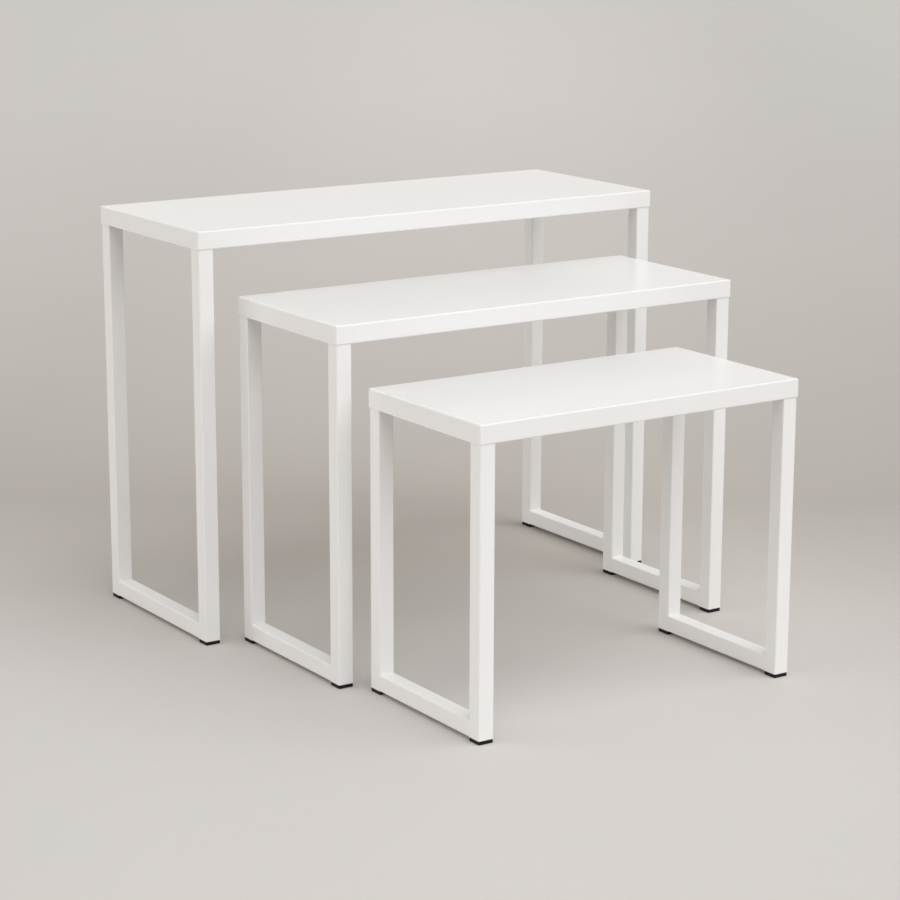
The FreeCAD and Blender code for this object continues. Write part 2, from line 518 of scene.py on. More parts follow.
@dataclass(frozen=True)
class StudioFloor:
    """Seamless greige floor with painted shade: painted darker and warmer just behind the tables, light in
    front and again far off, and painted darker towards the sides.

    Attributes:
        name: the material's name.
        light: the colour where it is light.
        warm_shade: the warmer colour of the painted shade, where it is darkest.
        away: the direction that leads from the front to the back.
        shade_tones: the painted shade at each distance from the middle, from the front to the back, darkest
            just behind the tables.
        shade_warmth: how much of the warm colour of the painted shade there is at each such distance.
        side_shade_tones: the painted shade at each distance to the side, from the left to the right, darker
            towards the sides.
        far: the colour that it takes on far out, all round.
        far_share: how much of that colour there is at each distance from the middle.
        far_side_share: how much of it there is at each distance to the side.
        clouds, specks, grain: where each of these lies on the floor.
        cloud_depth, speck_depth: how much the clouds and the specks change its colour.
        grain_rise: the height of the grain.
        roughness: how dull it is.
    """

    name: str
    light: Colour = (0.664, 0.640, 0.613)
    # Painted shade colour: the floor is painted warmer where its painted shade is darkest, just behind the
    # tables.
    warm_shade: Colour = (0.664, 0.622, 0.577)
    away: Pair = (0.555, 0.832)
    # Painted shade: the floor is painted darker in a band just behind the tables, lighter in front and far
    # off.
    shade_tones: tuple[Pair, ...] = (
        (-0.5, 0.925), (0.1, 0.900), (0.5, 0.820), (1.1, 0.695), (1.7, 0.705), (5.0, 0.800), (12.0, 0.885),
        (20.0, 0.930),
    )
    shade_warmth: tuple[Pair, ...] = ((-0.4, 0.0), (0.6, 0.8), (1.2, 1.0), (3.0, 0.6), (10.0, 0.1))
    # Painted shade: the floor is painted darker towards the sides, as uneven studio light would leave it.
    side_shade_tones: tuple[Pair, ...] = (
        (-4.0, 0.90), (-1.3, 0.945), (-0.6, 0.985), (0.0, 1.0), (0.6, 0.985), (1.3, 0.945), (2.2, 0.875),
        (4.0, 0.80),
    )
    far: Colour = (0.543, 0.523, 0.497)
    far_share: tuple[Pair, ...] = ((8.0, 0.0), (30.0, 1.0))
    far_side_share: tuple[Pair, ...] = ((-3.7, 1.0), (-1.4, 0.0), (1.4, 0.0), (3.7, 1.0))
    clouds: Mottle = Mottle(1.7, detail=4.0, roughness=0.55)
    cloud_depth: float = 0.03
    specks: Mottle = Mottle(38.0, detail=3.0, roughness=0.6)
    speck_depth: float = 0.02
    grain: Mottle = Mottle(240.0)
    grain_rise: float = 0.05 * MM
    roughness: float = 0.9

    def material(self) -> bpy.types.Material:
        """Write the shader.

        Returns:
            The finished material.
        """
        recipe = Recipe.of_material(self.name)
        place = recipe.place()
        along, across = self.away
        distance = self._measure(recipe, place, (along, across, 0.0))
        side = self._measure(recipe, place, (across, -along, 0.0))
        out = recipe.wire("ShaderNodeVectorMath", {"operation": "LENGTH"}, {0: place}, output="Value")
        # Painted shade: the floor's colour is darkened behind the tables and towards the sides, and tinted
        # warm where it is darkest.
        tone = recipe.ramp(distance, self.shade_tones) * recipe.ramp(side, self.side_shade_tones)
        near = recipe.blend(recipe.ramp(distance, self.shade_warmth), self.light, self.warm_shade) * tone
        shares = {0: recipe.ramp(out, self.far_share), 1: recipe.ramp(side, self.far_side_share)}
        share = recipe.wire("ShaderNodeMath", {"operation": "MAXIMUM"}, shares)
        clouds = (1 - self.cloud_depth / 2) + recipe.noise(place, self.clouds) * self.cloud_depth
        specks = (1 - self.speck_depth / 2) + recipe.noise(place, self.specks) * self.speck_depth
        colour = recipe.blend(share, near, self.far) * clouds * specks
        normal = recipe.bump(recipe.noise(place, self.grain), self.grain_rise)
        return recipe.finish({
            "Base Color": colour, "Roughness": self.roughness, "Specular IOR Level": 0.0, "Normal": normal,
        })

    @staticmethod
    def _measure(recipe: Recipe, place: Wire, direction: Place) -> Wire:
        """Give how far a place lies in a direction."""
        settings = {"operation": "DOT_PRODUCT"}
        return recipe.wire("ShaderNodeVectorMath", settings, {0: place, 1: direction}, output="Value")


@dataclass(frozen=True)
class SoftSky:
    """Even light from all round, and the plain backdrop that shows in its place.

    Attributes:
        name: its name.
        light: the colour and the strength of the light.
        backdrop: the colour that shows behind the tables and in their gloss.
    """

    name: str
    light: Colour = (0.266, 0.254, 0.234)
    backdrop: Colour = (0.600, 0.575, 0.545)

    SEEN_BY: ClassVar[tuple[str, ...]] = ("Is Camera Ray", "Is Glossy Ray", "Is Transmission Ray")

    def world(self) -> bpy.types.World:
        """Write the shader.

        Returns:
            The finished sky.
        """
        recipe = Recipe(bpy.data.worlds.new(self.name))
        seen = sum((recipe.wire("ShaderNodeLightPath", output=kind) for kind in self.SEEN_BY), 0.0)
        return recipe.finish_sky(recipe.blend(seen, self.light, self.backdrop))


@dataclass(frozen=True)
class Finishes:
    """The materials of the tables.

    Attributes:
        by_slot: the material of each slot.
    """

    by_slot: dict[Slot, bpy.types.Material]

    @classmethod
    def mixed(cls) -> "Finishes":
        """Make every material once.

        Returns:
            The materials.
        """
        inside = PowderCoat("coat_inside", colour=(0.82, 0.812, 0.795), roughness=0.46, peel_rise=0.03 * MM)
        return cls({
            Slot.COATED_TOP: PowderCoat("coat_top", wave_rise=0.06 * MM).material(),
            Slot.COATED_FRAME: PowderCoat("coat_frame", roughness=0.30).material(),
            Slot.COATED_INSIDE: inside.material(),
            Slot.PLASTIC: MouldedPlastic("foot_plastic").material(),
            Slot.ZINC: ZincPlate("fastener_zinc").material(),
        })

    def dress(self, piece: bpy.types.Object, slot: Slot) -> None:
        """Give a piece the finish of its slot.

        Args:
            piece: a new piece, or one of the solids of the part.
            slot: the slot that names the finish.
        """
        material = self.by_slot[slot]
        if not piece.material_slots:
            piece.data.materials.append(material)
        for place in piece.material_slots:
            place.material = material


# ---------------------------------------------------------------- mesh drawing


@dataclass(frozen=True)
class Outline:
    """Rectangle with rounded corners, across u and v, drawn counter-clockwise.

    Attributes:
        low: its lowest u and v.
        high: its highest u and v.
        radius: the radius of its corners.
        stops_u: where the two sides along u have points of their own.
        stops_v: where the two sides along v have points of their own.
        steps: how many edges there are in each corner.
    """

    low: Pair
    high: Pair
    radius: float
    stops_u: tuple[float, ...] = ()
    stops_v: tuple[float, ...] = ()
    steps: int = 5

    def loop(self, inset: Pair, radius: float | None) -> list[MarkedPoint]:
        """Give the points of the outline, drawn in.

        Args:
            inset: how far it is drawn in along u and v.
            radius: another radius for the corners, if they have one.

        Returns:
            The u, the v and the edge mark of each point, 1 on a corner and 0 on a side.
        """
        arc = self.radius if radius is None else radius
        low_u, low_v = self.low[0] + inset[0], self.low[1] + inset[1]
        high_u, high_v = self.high[0] - inset[0], self.high[1] - inset[1]
        sides = (
            [(u, low_v) for u in self.stops_u],
            [(high_u, v) for v in self.stops_v],
            [(u, high_v) for u in reversed(self.stops_u)],
            [(low_u, v) for v in reversed(self.stops_v)],
        )
        centres = (
            (high_u - arc, low_v + arc), (high_u - arc, high_v - arc),
            (low_u + arc, high_v - arc), (low_u + arc, low_v + arc),
        )
        points: list[MarkedPoint] = []
        for quarter, (side, (centre_u, centre_v)) in enumerate(zip(sides, centres)):
            points += [(u, v, 0.0) for u, v in side]
            for step in range(self.steps + 1):
                turn = QUARTER_TURN * (quarter - 1 + step / self.steps)
                points.append((centre_u + arc * math.cos(turn), centre_v + arc * math.sin(turn), 1.0))
        return points


class Draft:
    """A mesh being drawn: loops of points with bands of faces between them."""

    def __init__(self) -> None:
        """Start with nothing drawn."""
        self.points: list[Vector] = []
        self.marks: list[float] = []
        self.faces: list[tuple[int, ...]] = []

    def loop(self, points: Iterable[Vector], marks: Iterable[float]) -> list[int]:
        """Add a loop of points.

        Args:
            points: where they are.
            marks: how much of an edge each one is, from 0 to 1.

        Returns:
            The numbers of the new points.
        """
        start = len(self.points)
        self.points += points
        self.marks += marks
        return list(range(start, len(self.points)))

    def level(self, outline: Outline, axis: Axis, at: float, inset: Pair = (0.0, 0.0),
              radius: float | None = None, mark: float = 0.0) -> list[int]:
        """Add the loop of an outline at one place along a piece, with no edge mark below the given one."""
        points = outline.loop(inset, radius)
        return self.loop([axis.join(u, v, at) for u, v, _ in points], [max(m, mark) for _, _, m in points])

    def ring(self, centre: Vector, turns: Sequence[float], reaches: Sequence[float],
             heights: Sequence[float]) -> list[int]:
        """Add a loop of points round an upright axis.

        Args:
            centre: a point of the axis.
            turns: the turn of each point about it.
            reaches: how far each point is from it.
            heights: how high each point is.

        Returns:
            The numbers of the new points.
        """
        points = [
            Vector((centre.x + reach * math.cos(turn), centre.y + reach * math.sin(turn), height))
            for turn, reach, height in zip(turns, reaches, heights)
        ]
        return self.loop(points, [0.0] * len(points))

    def band(self, lower: Sequence[int], upper: Sequence[int], closed: bool = True) -> None:
        """Join two loops of as many points.

        Args:
            lower: the loop that comes first along the surface.
            upper: the loop that follows it.
            closed: whether the last point is joined to the first.
        """
        count = len(lower)
        for index in range(count if closed else count - 1):
            after = (index + 1) % count
            self.faces.append((lower[index], lower[after], upper[after], upper[index]))

    def bands(self, loops: Sequence[Sequence[int]], closed: bool = True, ring: bool = False) -> None:
        """Join each loop to the next one.

        Args:
            loops: the loops, in order.
            closed: whether each band runs all the way round.
            ring: whether the last loop is joined to the first.
        """
        for lower, upper in zip(loops, loops[1:]):
            self.band(lower, upper, closed)
        if ring:
            self.band(loops[-1], loops[0], closed)

    def cap(self, loop: Sequence[int]) -> None:
        """Close a loop with one flat face."""
        self.faces.append(tuple(loop))

    def column(self, loops: Sequence[Sequence[int]]) -> None:
        """Join each loop to the next one and close both ends.

        Args:
            loops: the loops, in order.
        """
        self.bands(loops)
        self.cap(loops[0][::-1])
        self.cap(loops[-1])

    def prism(self, profile: Sequence[Pair], start: float, end: float) -> None:
        """Draw an upright solid.

        Args:
            profile: the x and y of its corners, in either direction.
            start: its underside.
            end: its upper side.
        """
        pairs = list(zip(profile, [*profile[1:], profile[0]]))
        area = sum(x * next_y - next_x * y for (x, y), (next_x, next_y) in pairs)
        ordered = profile if area > 0 else profile[::-1]
        marks = [0.0] * len(ordered)
        self.column([self.loop([Vector((x, y, z)) for x, y in ordered], marks) for z in (start, end)])

    def piece(self, name: str) -> bpy.types.Object:
        """Make the drawn mesh an object.

        Args:
            name: the name of the piece.

        Returns:
            The new object.
        """
        mesh = bpy.data.meshes.new(name)
        mesh.from_pydata(self.points, [], self.faces)
        mesh.attributes.new(EDGE_MARK, "FLOAT", "POINT").data.foreach_set("value", self.marks)
        piece = bpy.data.objects.new(name, mesh)
        bpy.context.scene.collection.objects.link(piece)
        return piece


def settle(piece: bpy.types.Object, sharp_from: float = math.radians(50), flat_weight: int = 100) -> None:
    """Apply what is still to be done to a piece and smooth its bends, with its flat faces left flat.

    Args:
        piece: the piece, with its modifiers.
        sharp_from: the least angle of an edge that stays sharp.
        flat_weight: how much the largest face beside a point counts for its shading.
    """
    piece.data.shade_smooth()
    bpy.context.view_layer.update()
    shaped = bpy.data.meshes.new_from_object(piece.evaluated_get(bpy.context.evaluated_depsgraph_get()))
    piece.modifiers.clear()
    shaped.set_sharp_from_angle(angle=sharp_from)
    piece.data = shaped
    even = piece.modifiers.new("even_shading", "WEIGHTED_NORMAL")
    even.keep_sharp = True
    even.weight = flat_weight


@dataclass
class Piece:
    """One piece of a table.

    Attributes:
        body: the table that it moves with.
        slot: its finish.
        node: the solid of the part that it stands for, if there is one.
    """

    body: str
    slot: Slot
    node: str = ""

    def draw(self) -> bpy.types.Object:
        """Draw the mesh of the piece."""
        raise NotImplementedError

    def build(self, finishes: Finishes) -> None:
        """Draw the piece, dress it and put it in the place of its solid.

        Args:
            finishes: the materials.
        """
        piece = self.draw()
        settle(piece)
        finishes.dress(piece, self.slot)
        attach(piece, self.body)
        if self.node:
            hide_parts(self.node)
        LOG.info("%s: %d faces, rides on %s", piece.name, len(piece.data.polygons), self.body)


# ---------------------------------------------------------------- the pieces of a table


@dataclass
class TopTray(Piece):
    """Top of one sheet, folded down into four skirts, with a lip under each long one.

    Attributes:
        sheet: the thickness of the sheet.
        bend: the outer radius of its bends.
        corner: the radius of the welded and dressed corners.
        lip: the depth of the lips.
        lip_margin: how far from its raw edge the flat of a lip ends.
        notch: how far each lip stops short of the end skirts.
        margin: how far beside a bend the flat faces begin.
        raw_edge: how much the raw edges of the sheet are dressed.
        raw_angle: the least angle of an edge that is dressed.
        raw_steps: how many faces there are across a dressed edge.
        bend_steps: how many faces there are round a bend.
        notch_steps: how many of them are left above the notches.
    """

    sheet: float = 1.5 * MM
    bend: float = 3.0 * MM
    corner: float = 1.8 * MM
    lip: float = 14.0 * MM
    lip_margin: float = 1.0 * MM
    notch: float = 37.8 * MM
    margin: float = 3.0 * MM
    raw_edge: float = 0.35 * MM
    raw_angle: float = math.radians(60)
    raw_steps: int = 2
    bend_steps: int = 6
    notch_steps: int = 4

    def draw(self) -> bpy.types.Object:
        """Draw the outer face of the sheet, then give it its thickness and ease its raw edges.

        Returns:
            The new piece.
        """
        low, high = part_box(self.node)
        first = self.bend + self.margin + self.corner + self.margin
        stops_u = (low.x + first, low.x + self.notch, high.x - self.notch, high.x - first)
        stops_v = (low.y + first, high.y - first)
        outline = Outline((low.x, low.y), (high.x, high.y), self.corner, stops_u, stops_v)
        levels = self._levels(low.z, high.z)
        draft = Draft()
        loops = [draft.level(outline, Axis.Z, z, inset, mark=mark) for z, inset, mark in levels]
        draft.bands(loops)
        draft.cap(loops[-1])
        for inward, y in ((1.0, low.y), (-1.0, high.y)):
            self._draw_lip(draft, loops[0], inward, y, low.z)
        piece = draft.piece(f"{self.body}_tray")
        thicken = piece.modifiers.new("sheet", "SOLIDIFY")
        thicken.thickness = self.sheet
        thicken.offset = -1.0
        thicken.use_even_offset = True
        ease = piece.modifiers.new("raw_edges", "BEVEL")
        ease.width = self.raw_edge
        ease.segments = self.raw_steps
        ease.limit_method = "ANGLE"
        ease.angle_limit = self.raw_angle
        return piece

    def _bend(self) -> list[Pair]:
        """Give how far each point of a bend is from the flat face and from the skirt, from the skirt on."""
        turns = [QUARTER_TURN * step / self.bend_steps for step in range(self.bend_steps + 1)]
        return [(self.bend * (1 - math.sin(turn)), self.bend * (1 - math.cos(turn))) for turn in turns]

    def _levels(self, base: float, top: float) -> list[tuple[float, Pair, float]]:
        """List the loops of the skirts and of the top, from the notches up.

        Args:
            base: the lower side of the skirts.
            top: the upper face.

        Returns:
            The height, the insets and the least edge mark of each loop.
        """
        beside = self.bend + self.margin
        above_notches = self._bend()[:self.notch_steps + 1]
        levels = [(base + rise, (0.0, run), 1.0) for rise, run in reversed(above_notches)]
        levels += [(base + beside, (0.0, 0.0), 0.0), (top - beside, (0.0, 0.0), 0.0)]
        levels += [(top - rise, (run, run), 1.0) for rise, run in self._bend()]
        levels.append((top, (beside, beside), 0.0))
        return levels

    def _draw_lip(self, draft: Draft, skirt: Sequence[int], inward: float, y: float, z: float) -> None:
        """Draw the rest of the lower bend and the lip, between the notches.

        Args:
            draft: the mesh being drawn.
            skirt: the lowest loop of the skirts.
            inward: the direction along Y that leads under the top.
            y: the outer face of the skirt.
            z: the underside of the lip.
        """
        low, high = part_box(self.node)
        start, end = low.x + self.notch - self.margin, high.x - self.notch + self.margin
        columns = [
            index for index in skirt
            if abs(draft.points[index].y - y) < self.bend and start < draft.points[index].x < end
        ]
        steps = [(rise, run, 1.0) for rise, run in self._bend()[self.notch_steps + 1:]]
        steps += [(0.0, self.bend + self.margin, 0.0), (0.0, self.lip - self.lip_margin, 0.0)]
        steps.append((0.0, self.lip, 1.0))
        rows = [columns]
        for rise, run, mark in steps:
            points = [Vector((draft.points[index].x, y + inward * run, z + rise)) for index in columns]
            rows.append(draft.loop(points, [mark] * len(points)))
        draft.bands(rows[::-1], closed=False)


@dataclass
class SquareTube(Piece):
    """Square tube, cut square at both ends.

    Attributes:
        axis: the direction that it runs in.
        wall: its thickness.
        corner: the outer radius of its corners.
        cut_edge: how much the cut edges are dressed.
        margin: how far beside a corner the flat faces begin.
    """

    axis: Axis = Axis.Z
    wall: float = 1.5 * MM
    corner: float = 2.5 * MM
    cut_edge: float = 0.3 * MM
    margin: float = 2.5 * MM

    def draw(self) -> bpy.types.Object:
        """Draw the outer faces, the cut ends and the bore as one ring of bands.

        Returns:
            The new piece.
        """
        low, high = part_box(self.node)
        low_u, low_v, start = self.axis.split(low)
        high_u, high_v, end = self.axis.split(high)
        beside = self.corner + self.margin
        outline = Outline(
            (low_u, low_v), (high_u, high_v), self.corner,
            (low_u + beside, high_u - beside), (low_v + beside, high_v - beside),
        )
        ease = self.cut_edge
        bore = self.corner - self.wall
        levels = (
            (start + ease, 0.0, self.corner, 1.0), (start + beside, 0.0, self.corner, 0.0),
            (end - beside, 0.0, self.corner, 0.0), (end - ease, 0.0, self.corner, 1.0),
            (end, ease, self.corner - ease, 1.0), (end, self.wall, bore, 1.0),
            (start, self.wall, bore, 1.0), (start, ease, self.corner - ease, 1.0),
        )
        draft = Draft()
        loops = [draft.level(outline, self.axis, at, (inset, inset), radius, mark)
                 for at, inset, radius, mark in levels]
        draft.bands(loops, ring=True)
        return draft.piece(f"{self.node}_tube")


@dataclass
class FootPad(Piece):
    """Black foot: a pad with eased edges and a shallow hollow below, and a ribbed plug up inside the leg.

    Attributes:
        pad: the height of the pad.
        neck: the height of the set-back neck that leaves a dark line below the leg.
        neck_inset: how far it is set back.
        corner: the radius of its upright corners.
        corner_steps: how many faces there are round such a corner.
        ease: the radius of its lower edge.
        ease_steps: how many faces there are round that edge.
        hollow: the depth of the hollow in its underside.
        rim: the width of the rim around the hollow.
        wall_gap: how far the ribs stay inside the outline of the pad.
        core_gap: how far the core stays inside the outline of the pad.
        core_wall: the thickness of the core.
        ribs: how many ribs there are.
        rib: the thickness of a rib.
    """

    pad: float = 8.0 * MM
    neck: float = 0.7 * MM
    neck_inset: float = 0.9 * MM
    corner: float = 2.2 * MM
    corner_steps: int = 4
    ease: float = 0.9 * MM
    ease_steps: int = 4
    hollow: float = 0.5 * MM
    rim: float = 4.5 * MM
    wall_gap: float = 1.1 * MM
    core_gap: float = 4.0 * MM
    core_wall: float = 2.0 * MM
    ribs: int = 2
    rib: float = 2.0 * MM

    def draw(self) -> bpy.types.Object:
        """Draw the pad and its plug as one skin, from the hollow below to the bottom of the bore.

        Returns:
            The new piece.
        """
        low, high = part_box(self.node)
        beside = self.corner + self.ease
        outline = Outline(
            (low.x, low.y), (high.x, high.y), self.corner,
            (low.x + beside, high.x - beside), (low.y + beside, high.y - beside), self.corner_steps,
        )
        draft = Draft()
        loops = [draft.level(outline, Axis.Z, at, (inset, inset), radius, mark)
                 for at, inset, radius, mark in self._levels(low.z, high.z)]
        draft.column(loops)
        return draft.piece(f"{self.node}_moulding")

    def _levels(self, base: float, top: float) -> list[tuple[float, float, float, float]]:
        """List the loops of the skin, along the skin.

        Args:
            base: the underside of the pad.
            top: the upper end of the plug.

        Returns:
            The height, the inset, the radius of the corners and the least edge mark of each loop.
        """
        shoulder = base + self.pad
        neck = shoulder - self.neck
        neck_corner = self.corner - self.neck_inset
        bore = self.core_gap + self.core_wall
        ridge = self.corner - self.ease
        levels = [(base + self.hollow, self.rim + self.hollow, ridge, 0.0), (base, self.rim, ridge, 0.0)]
        for step in range(self.ease_steps + 1):
            turn = QUARTER_TURN * step / self.ease_steps
            inset = self.ease * (1 - math.sin(turn))
            levels.append((base + self.ease * (1 - math.cos(turn)), inset, self.corner - inset, 1.0))
        levels += [
            (base + self.pad / 2, 0.0, self.corner, 0.0), (neck, 0.0, self.corner, 1.0),
            (neck, self.neck_inset, neck_corner, 0.0), (shoulder, self.neck_inset, neck_corner, 0.0),
            (shoulder, self.core_gap, ridge, 0.0),
        ]
        pitch = (top - shoulder) / (self.ribs + 1)
        for index in range(self.ribs):
            lower = shoulder + pitch * (index + 1) - self.rib / 2
            upper = lower + self.rib
            levels += [
                (lower, self.core_gap, ridge, 0.0), (lower, self.wall_gap, ridge, 0.0),
                (upper, self.wall_gap, ridge, 0.0), (upper, self.core_gap, ridge, 0.0),
            ]
        levels += [(top, self.core_gap, ridge, 0.0), (top, bore, ridge, 0.0), (shoulder, bore, ridge, 0.0)]
        return levels


def solids_of(node: str, same_place: float = 0.01 * MM) -> list[tuple[Vector, Vector]]:
    """Find the separate solids of a node.

    Args:
        node: the name of the node.
        same_place: how close together two points of one solid lie that are the same corner.

    Returns:
        The lowest and highest corner of each solid, in the order of their places.
    """
    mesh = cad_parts[node].data
    group = {vertex.index: vertex.index for vertex in mesh.vertices}

    def leader(index: int) -> int:
        """Follow a point to the first point of its group.

        Args:
            index: the number of the point.

        Returns:
            The number of that first point.
        """
        while group[index] != index:
            group[index] = group[group[index]]
            index = group[index]
        return index

    first_at: dict[tuple[float, ...], int] = {}
    for vertex in mesh.vertices:
        spot = tuple(round(value / same_place) for value in vertex.co)
        group[vertex.index] = first_at.setdefault(spot, vertex.index)
    for face in mesh.polygons:
        for index in face.vertices[1:]:
            group[leader(index)] = leader(face.vertices[0])
    solids: dict[int, list[Vector]] = {}
    for vertex in mesh.vertices:
        solids.setdefault(leader(vertex.index), []).append(vertex.co)
    corners = [(Vector(map(min, zip(*points))), Vector(map(max, zip(*points)))) for points in solids.values()]
    return sorted(corners, key=lambda pair: tuple(pair[0]))


@dataclass
class ThreadedStuds(Piece):
    """The studs that are welded to the sheet, with their threads.

    Attributes:
        pitch: the rise of one turn of the thread.
        depth: how deep it is cut.
        columns: how many points there are round a stud.
        rows: how many points there are along one turn.
        tip: the length of the tapered tip.
    """

    pitch: float = 1.0 * MM
    depth: float = 0.55 * MM
    columns: int = 24
    rows: int = 4
    tip: float = 0.9 * MM

    def draw(self) -> bpy.types.Object:
        """Draw every stud as a column of loops whose radius follows the thread.

        Returns:
            The new piece.
        """
        draft = Draft()
        shares = [column / self.columns for column in range(self.columns)]
        turns = [2 * math.pi * share for share in shares]
        for low, high in solids_of(self.node):
            radius = (high.x - low.x) / 2
            length = high.z - low.z
            count = round(length / self.pitch * self.rows)
            loops = []
            for row in range(count + 1):
                rise = length * row / count
                taper = max(0.0, 1 - rise / self.tip) * self.depth
                phases = [(rise / self.pitch - share) % 1.0 for share in shares]
                reaches = [radius - self.depth * abs(2 * phase - 1) - taper for phase in phases]
                loops.append(draft.ring((low + high) / 2, turns, reaches, [low.z + rise] * self.columns))
            draft.column(loops)
        return draft.piece(f"{self.body}_threaded_studs")


@dataclass
class HexagonNuts(Piece):
    """The nuts on the studs, with the corners of their hexagon turned off.

    Attributes:
        bore: the radius of the thread.
        lead_in: the width and the depth of the chamfer at each end of the bore.
        chamfer: the share of the width across flats that stays flat on top.
        slope: the fall of the turned-off corners.
        steps: how many points there are on each flat.
    """

    bore: float = 3.1 * MM
    lead_in: float = 0.4 * MM
    chamfer: float = 0.94
    slope: float = math.tan(math.radians(30))
    steps: int = 6

    FLATS: ClassVar[int] = 6

    def draw(self) -> bpy.types.Object:
        """Draw every nut as a ring of bands from its bore, over its corners, and back.

        Returns:
            The new piece.
        """
        draft = Draft()
        count = self.FLATS * self.steps
        flat_turn = 2 * math.pi / self.FLATS
        turns = [flat_turn * step / self.steps for step in range(count)]
        leans = [(turn + flat_turn / 2) % flat_turn - flat_turn / 2 for turn in turns]
        for low, high in solids_of(self.node):
            flat = (high.y - low.y) / 2
            face = flat * self.chamfer
            hexagon = [flat / math.cos(lean) for lean in leans]
            lower = [
                ([self.bore] * count, [low.z + self.lead_in] * count),
                ([self.bore + self.lead_in] * count, [low.z] * count),
                ([face] * count, [low.z] * count),
                (hexagon, [low.z + (reach - face) * self.slope for reach in hexagon]),
            ]
            mirror = low.z + high.z
            upper = [(reaches, [mirror - height for height in heights]) for reaches, heights in lower[::-1]]
            loops = [draft.ring((low + high) / 2, turns, *row) for row in lower + upper]
            draft.bands(loops, ring=True)
        return draft.piece(f"{self.body}_hexagon_nuts")


@dataclass
class CornerWelds(Piece):
    """The welds where the floor rails meet the legs: ground flush at both sides, left as a bead on top.

    Attributes:
        corner: the radius of the corner of the leg that is filled up.
        fill_steps: how many faces follow that corner.
        sunk: how much lower the ground face lies than the tubes.
        size: the height and the width of a bead.
        dip: how far the middle of a bead dips in, as a share of its size.
        ripple: the height of its ripples, as a share of its size.
        pitch: the length of one ripple.
        steps: how many points there are along one ripple.
        curve_steps: how many faces there are across the bead.
        clear: how far the bead stays from the corners of the tube.
        end_size: the share of its size that a bead starts and ends with.
        end_growth: how fast it grows from there.
    """

    corner: float = 2.5 * MM
    fill_steps: int = 4
    sunk: float = 0.02 * MM
    size: float = 2.4 * MM
    dip: float = 0.36
    ripple: float = 0.10
    pitch: float = 2.2 * MM
    steps: int = 5
    curve_steps: int = 4
    clear: float = 2.5 * MM
    end_size: float = 0.15
    end_growth: float = 4.0

    def draw(self) -> bpy.types.Object:
        """Draw the welds of both end frames as one mesh.

        Returns:
            The new piece.
        """
        draft = Draft()
        for end in ENDS:
            low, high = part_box(f"{self.body}_floor_rail_{end}")
            for face, inward in ((low.y, 1.0), (high.y, -1.0)):
                self._draw_bead(draft, low.x + self.clear, high.x - self.clear, face, inward, high.z)
                for side, outward in ((low.x, -1.0), (high.x, 1.0)):
                    profile = self._fill_profile(face, inward, side, outward)
                    draft.prism(profile, low.z + self.sunk, high.z - self.corner / 2)
        return draft.piece(f"{self.body}_corner_welds")

    def _fill_profile(self, face: float, inward: float, side: float, outward: float) -> list[Pair]:
        """Give the corners of the flush weld between the round corner of the leg and the end of the rail.

        Args:
            face: the face of the leg.
            inward: the direction along Y that leads away from the leg.
            side: the outer face of both tubes.
            outward: the direction along X that leads away from them.

        Returns:
            The x and y of each corner.
        """
        profile = [(side - outward * self.sunk, face + inward * self.sunk)]
        for step in range(self.fill_steps + 1):
            turn = QUARTER_TURN * step / self.fill_steps
            across = self.corner * (1 - math.sin(turn))
            along = self.corner * (1 - math.cos(turn))
            profile.append((side - outward * max(across, self.sunk), face - inward * along))
        return profile

    def _draw_bead(self, draft: Draft, start: float, end: float, face: float, inward: float,
                   top: float) -> None:
        """Draw one bead along X, with its ends run out.

        Args:
            draft: the mesh being drawn.
            start: where the bead starts.
            end: where it ends.
            face: the face of the leg.
            inward: the direction along Y that leads away from the leg.
            top: the upper face of the rail.
        """
        count = round((end - start) / self.pitch) * self.steps
        turns = [QUARTER_TURN * step / self.curve_steps for step in range(self.curve_steps + 1)]
        loops = []
        for index in range(count + 1):
            share = index / count
            run_out = min(1.0, math.sin(math.pi * share) * self.end_growth + self.end_size)
            wave = 1 + self.ripple * math.sin(2 * math.pi * index / self.steps)
            x = start + (end - start) * share
            points = [Vector((x, face, top))]
            for turn in turns:
                reach = self.size * run_out * wave * (1 - self.dip * math.sin(2 * turn))
                y = face + inward * reach * math.cos(turn)
                points.append(Vector((x, y, top + reach * math.sin(turn))))
            loops.append(draft.loop(points, [0.0] * len(points)))
        draft.column(loops if inward > 0 else loops[::-1])


